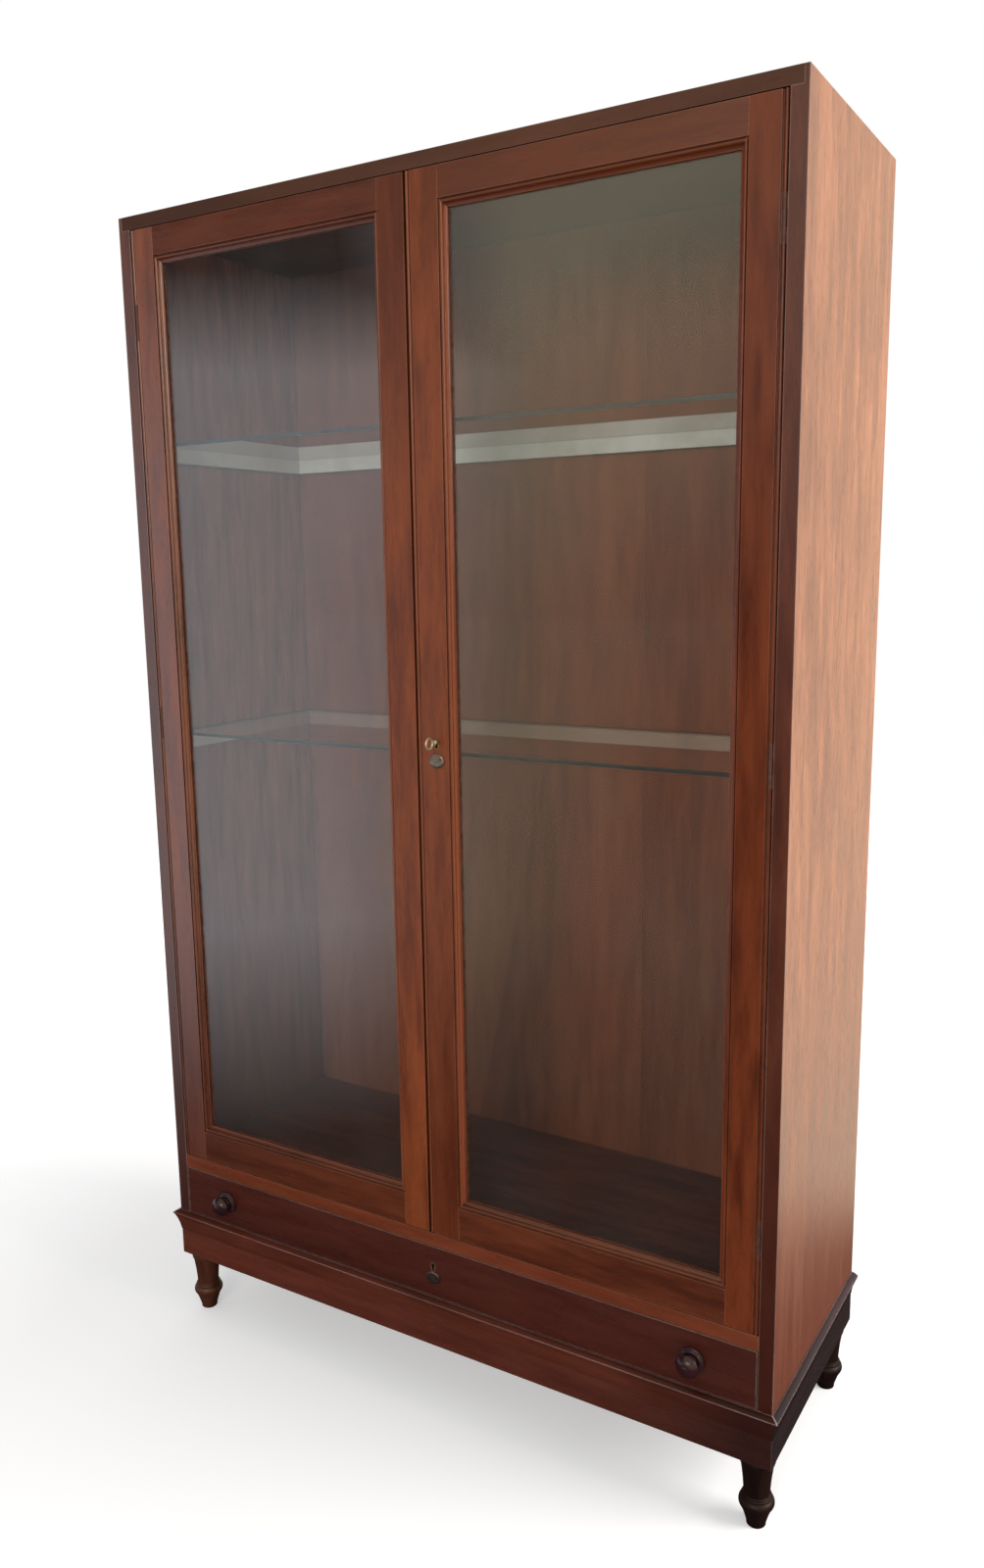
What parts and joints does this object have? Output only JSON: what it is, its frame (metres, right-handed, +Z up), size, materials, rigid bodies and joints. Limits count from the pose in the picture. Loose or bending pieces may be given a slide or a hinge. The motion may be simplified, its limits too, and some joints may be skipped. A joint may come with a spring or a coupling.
{
  "type": "display cabinet",
  "caption": "Tall mahogany display cabinet with inset glazed doors over a full-width drawer, glass shelves, and a moulded base on turned feet.",
  "frame": {"origin": "on the floor, under the middle of the whole cabinet's outline, knobs included", "axes": "+Z up, +X to the right seen from the front, the doors and the drawer face -Y"},
  "size_m": [1.222, 0.467, 2.05],
  "materials": {
    "mahogany": "polished",
    "secondary_wood": "oiled, duller than the show wood",
    "pale_ledger": "pale painted",
    "dark_wood": "polished, nearly black",
    "glass": "clear",
    "brass": "aged satin",
    "stud_metal": "dulled grey brass"
  },
  "bodies": {
    "cabinet": {"left_side_panel": "mahogany", "right_side_panel": "mahogany", "top_board": "mahogany", "divider_rail": "mahogany", "base_front_rail": "mahogany", "base_right_rail": "mahogany", "base_left_rail": "mahogany", "base_moulding_front": "mahogany", "base_moulding_right": "mahogany", "base_moulding_left": "mahogany", "front_left_foot": "mahogany", "front_right_foot": "mahogany", "rear_left_foot": "mahogany", "rear_right_foot": "mahogany", "door_stop": "mahogany", "bottom_board": "secondary_wood", "cabinet_floor": "secondary_wood", "back_boards": "secondary_wood", "drawer_kickers": "secondary_wood", "drawer_stops": "secondary_wood", "base_back_rail": "secondary_wood", "base_corner_blocks": "secondary_wood", "shelf_ledgers": "pale_ledger", "upper_glass_shelf": "glass", "lower_glass_shelf": "glass", "hinge_frame_leaves": "brass", "hinge_pins": "brass"},
    "left_door": {"left_door_hinge_stile": "mahogany", "left_door_meeting_stile": "mahogany", "left_door_bottom_rail": "mahogany", "left_door_top_rail": "mahogany", "left_door_glass": "glass", "left_door_glazing_beads": "mahogany", "left_door_hinge_leaves": "brass", "lock_strike_plate": "brass", "edge_bolt_plates": "brass"},
    "right_door": {"right_door_hinge_stile": "mahogany", "right_door_meeting_stile": "mahogany", "right_door_bottom_rail": "mahogany", "right_door_top_rail": "mahogany", "right_door_glass": "glass", "right_door_glazing_beads": "mahogany", "right_door_hinge_leaves": "brass", "door_lock_case": "brass", "door_keyhole_liner": "brass", "door_key_stud": "stud_metal"},
    "drawer": {"drawer_front": "mahogany", "drawer_right_side": "secondary_wood", "drawer_left_side": "secondary_wood", "drawer_back": "secondary_wood", "drawer_bottom": "secondary_wood", "drawer_lock_case": "brass", "drawer_keyhole_liner": "brass", "drawer_key_stud": "stud_metal", "drawer_knobs": "dark_wood"},
    "upper_door_bolt": {"upper_door_bolt": "brass"},
    "lower_door_bolt": {"lower_door_bolt": "brass"},
    "door_lock_bolt": {"door_lock_bolt": "brass"},
    "drawer_lock_bolt": {"drawer_lock_bolt": "brass"},
    "door_key": {"door_key": "brass"}
  },
  "joints": [
    {"name": "left_door_hinge", "type": "hinge", "parent": "cabinet", "child": "left_door", "pos_m": [-0.5715, -0.1975, 1.1815], "axis": [0, 0, -1], "range_deg": [0, 105]},
    {"name": "right_door_hinge", "type": "hinge", "parent": "cabinet", "child": "right_door", "pos_m": [0.5715, -0.1975, 1.1815], "axis": [0, 0, 1], "range_deg": [0, 105]},
    {"name": "drawer_slide", "type": "slide", "parent": "cabinet", "child": "drawer", "axis": [0, -1, 0], "range_m": [0, 0.3]},
    {"name": "door_key_turn", "type": "hinge", "parent": "right_door", "child": "door_key", "pos_m": [0.0315, -0.2005, 1.182], "axis": [0, 1, 0], "range_deg": [0, 360]},
    {"name": "door_lock_bolt_slide", "type": "slide", "parent": "right_door", "child": "door_lock_bolt", "axis": [-1, 0, 0], "range_m": [0, 0.008]},
    {"name": "drawer_lock_bolt_slide", "type": "slide", "parent": "drawer", "child": "drawer_lock_bolt", "axis": [0, 0, 1], "range_m": [0, 0.008]},
    {"name": "upper_door_bolt_slide", "type": "slide", "parent": "left_door", "child": "upper_door_bolt", "axis": [0, 0, 1], "range_m": [0, 0.01]},
    {"name": "lower_door_bolt_slide", "type": "slide", "parent": "left_door", "child": "lower_door_bolt", "axis": [0, 0, -1], "range_m": [0, 0.01]}
  ],
  "couplings": [
    {"joint": "door_key_turn", "follows": "door_lock_bolt_slide", "rad_per_m": 785.4}
  ]
}
